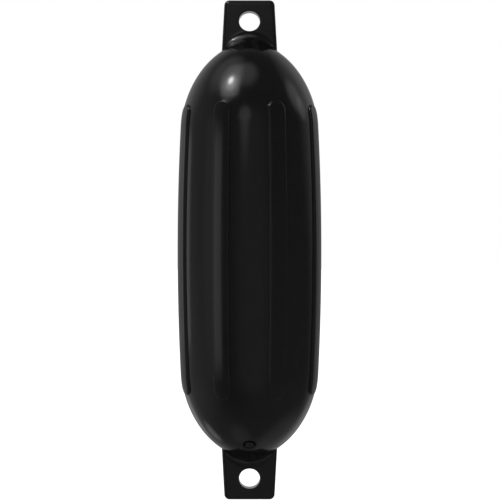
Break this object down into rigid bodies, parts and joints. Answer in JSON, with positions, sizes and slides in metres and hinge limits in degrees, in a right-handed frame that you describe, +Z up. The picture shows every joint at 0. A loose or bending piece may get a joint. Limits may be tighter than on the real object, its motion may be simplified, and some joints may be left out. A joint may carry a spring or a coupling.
{
  "type": "pneumatic fender",
  "caption": "Inflatable boat fender: long round vinyl body with domed ends, a tab with an eye at each end, raised lengthwise ribs and a recessed inflation valve.",
  "frame": {"origin": "centre of the upper eye, on the middle plane of its tab", "axes": "+Z up along the fender's length as it hangs; the tabs' flat faces look along +Y and -Y; the valve is low on the -Y side"},
  "size_m": [0.164, 0.164, 0.5678],
  "materials": {
    "black_vinyl": "glossy rotomoulded vinyl",
    "valve_rubber": "matt moulded rubber"
  },
  "bodies": {
    "root": {"fender_body": "black_vinyl", "inflation_valve": "valve_rubber"}
  },
  "joints": []
}
